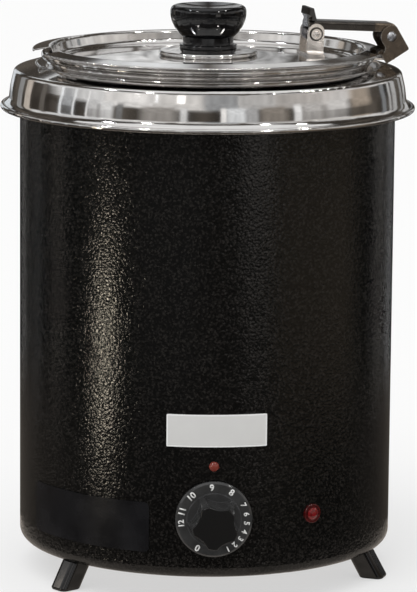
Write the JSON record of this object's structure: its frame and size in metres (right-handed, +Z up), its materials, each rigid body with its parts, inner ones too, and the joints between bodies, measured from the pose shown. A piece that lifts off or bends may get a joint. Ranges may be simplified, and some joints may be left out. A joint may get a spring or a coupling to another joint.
{
  "type": "bain marie",
  "caption": "Round wet-heat bain marie for soup: painted casing on splayed feet, polished collar, lift-out pot, hinged notched lid with knob, and a front control dial.",
  "frame": {"origin": "on the ground under the middle of the round casing", "axes": "+Z up, -Y out of the front through the middle of the dial, +X to the right seen from the front"},
  "size_m": [0.26, 0.2884, 0.3574],
  "materials": {
    "hammertone_black": "black hammered paint, half gloss",
    "polished_steel": "mirror-polished stainless steel",
    "brushed_steel": "satin stainless steel",
    "zinc_steel": "plated fasteners",
    "black_phenolic": "gloss black moulding",
    "dial_plastic": "satin dark moulding",
    "plate_silver": "plain pale plate",
    "dark_film": "smooth dark film",
    "red_lens": "translucent red",
    "red_bezel": "dark red moulding",
    "dark_hinge": "dark bronzed steel, half gloss",
    "seal_rubber": "flat rubber ring",
    "pad_fibre": "pressed mineral fibre",
    "control_plastic": "dark moulding",
    "heater_alloy": "cast heating disc",
    "copper_tube": "drawn copper"
  },
  "bodies": {
    "kettle": {"outer_casing": "hammertone_black", "base_plate": "zinc_steel", "base_screws": "zinc_steel", "base_nuts": "zinc_steel", "foot_front_left": "black_phenolic", "foot_front_right": "black_phenolic", "foot_rear": "black_phenolic", "foot_studs": "zinc_steel", "foot_nuts": "zinc_steel", "water_well": "brushed_steel", "well_seal": "seal_rubber", "rim_screws": "zinc_steel", "rim_nuts": "zinc_steel", "heating_element": "heater_alloy", "heater_pad": "pad_fibre", "heater_clamp": "zinc_steel", "heater_studs": "zinc_steel", "heater_nuts": "zinc_steel", "thermostat_body": "control_plastic", "thermostat_screws": "zinc_steel", "thermostat_capillary": "copper_tube", "bulb_clip": "zinc_steel", "pilot_lamp_bezel": "red_bezel", "pilot_lamp_lens": "red_lens", "pilot_lamp_body": "control_plastic", "pilot_lamp_nut": "zinc_steel", "index_jewel": "red_lens", "index_clip": "zinc_steel", "front_plate": "plate_silver", "side_film": "dark_film", "cable_gland": "control_plastic", "gland_nut": "control_plastic", "terminal_block": "control_plastic", "terminal_screws": "zinc_steel"},
    "collar": {"collar_ring": "polished_steel"},
    "pot": {"soup_pot": "polished_steel", "hinge_tongue": "brushed_steel", "hinge_bracket": "dark_hinge", "hinge_rivets": "zinc_steel", "hinge_spacer": "zinc_steel", "hinge_screw": "zinc_steel", "hinge_nut": "zinc_steel"},
    "arm": {"lid_arm": "dark_hinge", "thumb_cap": "black_phenolic"},
    "lid": {"lid_pan": "polished_steel", "lid_bracket": "brushed_steel", "lid_rivet": "brushed_steel", "knob_plate": "polished_steel", "lid_knob": "black_phenolic", "knob_washer": "zinc_steel", "knob_screw": "zinc_steel"},
    "dial": {"control_dial": "dial_plastic", "dial_shaft": "zinc_steel"}
  },
  "joints": [
    {"name": "collar_lift", "type": "slide", "parent": "kettle", "child": "collar", "axis": [0, 0, 1], "range_m": [0, 0.25]},
    {"name": "pot_lift", "type": "slide", "parent": "collar", "child": "pot", "axis": [0, 0, 1], "range_m": [0, 0.25]},
    {"name": "lid_hinge", "type": "hinge", "parent": "pot", "child": "arm", "pos_m": [0.11503, 0.02445, 0.3362], "axis": [-0.2079, 0.9781, 0], "range_deg": [0, 100]},
    {"name": "lid_tilt", "type": "hinge", "parent": "arm", "child": "lid", "pos_m": [0.06632, 0.0141, 0.33873], "axis": [-0.2079, 0.9781, 0], "range_deg": [0, 1.3]},
    {"name": "dial_turn", "type": "hinge", "parent": "kettle", "child": "dial", "pos_m": [0, -0.1177, 0.0563], "axis": [0, -1, 0], "range_deg": [-95, 210]}
  ]
}
